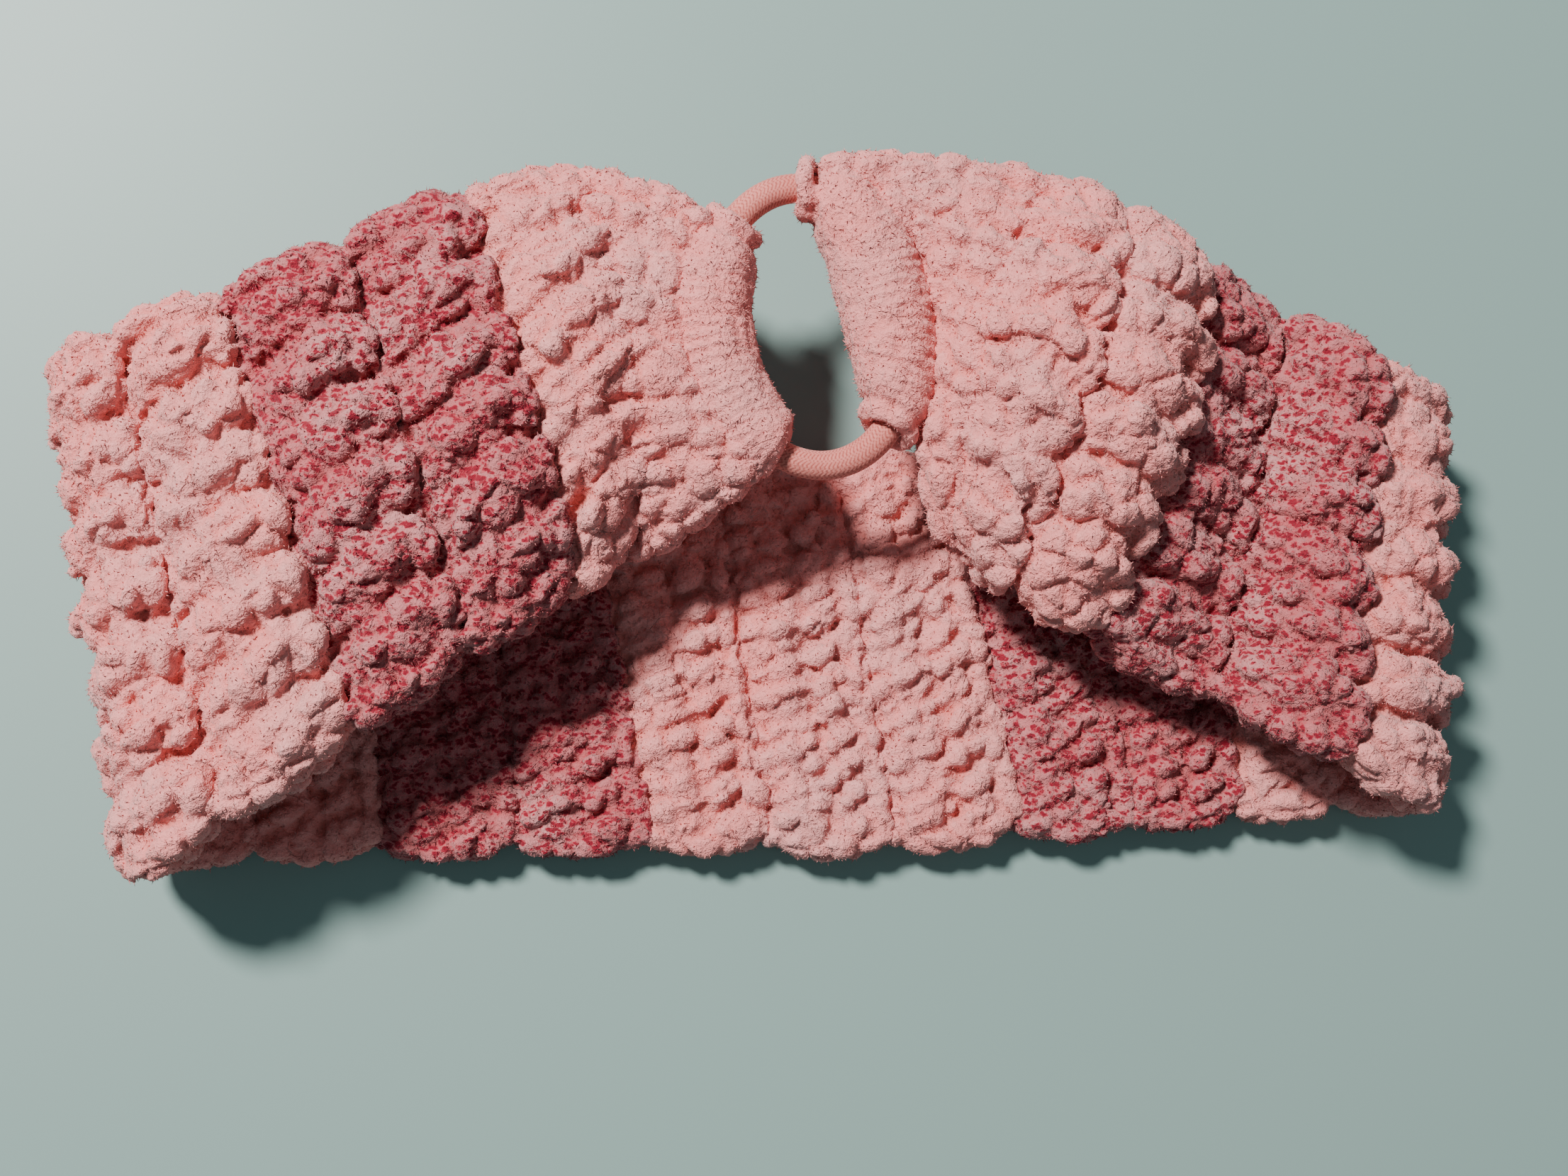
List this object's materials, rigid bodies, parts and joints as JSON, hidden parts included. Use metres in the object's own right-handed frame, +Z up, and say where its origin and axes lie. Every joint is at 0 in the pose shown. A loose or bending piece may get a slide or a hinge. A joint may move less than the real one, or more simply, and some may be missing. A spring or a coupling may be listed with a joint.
{
  "type": "spa headband",
  "caption": "Closed loop headband of chunky crocheted chenille rows, folded flat, whose two ends are worked round a covered hair elastic.",
  "frame": {"origin": "middle of the box round the folded headband, at the surface that it lies on", "axes": "+X along the folded band, from its left side fold to its right one; +Y across the band, towards the hair elastic; +Z up off the surface"},
  "size_m": [0.2321, 0.1154, 0.0447],
  "materials": {
    "pink_chenille": "plush chenille yarn, pale pink",
    "fleck_chenille": "plush chenille yarn, pale pink flecked with raspberry",
    "knit_cover": "fine ribbed knit, salmon pink",
    "rubber_core": "natural rubber strands",
    "glued_join": "cured glue, salmon pink"
  },
  "bodies": {
    "back": {"row_08_fleck": "fleck_chenille", "row_09_fleck": "fleck_chenille", "row_10_pink": "pink_chenille", "row_11_pink": "pink_chenille", "row_12_pink": "pink_chenille", "row_13_fleck": "fleck_chenille", "row_14_fleck": "fleck_chenille"},
    "left_side": {"row_06_pink": "pink_chenille", "row_07_pink": "pink_chenille"},
    "left_fold": {"row_05_pink": "pink_chenille"},
    "left_flap": {"row_01_pink": "pink_chenille", "row_02_fleck": "fleck_chenille", "row_03_fleck": "fleck_chenille", "row_04_pink": "pink_chenille", "left_gather": "pink_chenille"},
    "right_side": {"row_15_pink": "pink_chenille", "row_16_pink": "pink_chenille"},
    "right_flap": {"row_17_pink": "pink_chenille", "row_18_fleck": "fleck_chenille", "row_19_fleck": "fleck_chenille", "row_20_pink": "pink_chenille", "row_21_pink": "pink_chenille", "right_gather": "pink_chenille"},
    "elastic_loop": {"elastic_core": "rubber_core", "elastic_cover": "knit_cover", "elastic_join": "glued_join", "left_wrap": "pink_chenille", "right_wrap": "pink_chenille"}
  },
  "joints": [
    {"name": "left_side_lift", "type": "hinge", "parent": "back", "child": "left_side", "pos_m": [-0.07009, -0.01884, 0.0045], "axis": [-0.0872, 0.9962, 0], "range_deg": [0, 30]},
    {"name": "left_fold_open", "type": "hinge", "parent": "left_side", "child": "left_fold", "pos_m": [-0.10711, -0.01791, 0.01398], "axis": [0.1392, -0.9903, 0], "range_deg": [0, 15]},
    {"name": "left_flap_open", "type": "hinge", "parent": "left_fold", "child": "left_flap", "pos_m": [-0.09582, -0.01181, 0.02779], "axis": [0.225, -0.9744, 0], "range_deg": [0, 36]},
    {"name": "loop_swivel", "type": "hinge", "parent": "left_flap", "child": "elastic_loop", "pos_m": [-0.00822, 0.02472, 0.03037], "axis": [-0.2513, 0.9679, 0], "range_deg": [0, 24]},
    {"name": "right_side_lift", "type": "hinge", "parent": "back", "child": "right_side", "pos_m": [0.07651, -0.01646, 0.0045], "axis": [0.1219, -0.9925, 0], "range_deg": [0, 18]},
    {"name": "right_fold_open", "type": "hinge", "parent": "right_side", "child": "right_flap", "pos_m": [0.11147, -0.01396, 0.01511], "axis": [0.0291, 0.9996, 0], "range_deg": [0, 42]}
  ],
  "couplings": [
    {"joint": "left_fold_open", "follows": "left_side_lift", "ratio": 0.5},
    {"joint": "left_flap_open", "follows": "left_side_lift", "ratio": 1.2},
    {"joint": "loop_swivel", "follows": "left_side_lift", "ratio": 0.8},
    {"joint": "right_side_lift", "follows": "left_side_lift", "ratio": 0.6},
    {"joint": "right_fold_open", "follows": "left_side_lift", "ratio": 1.4}
  ]
}
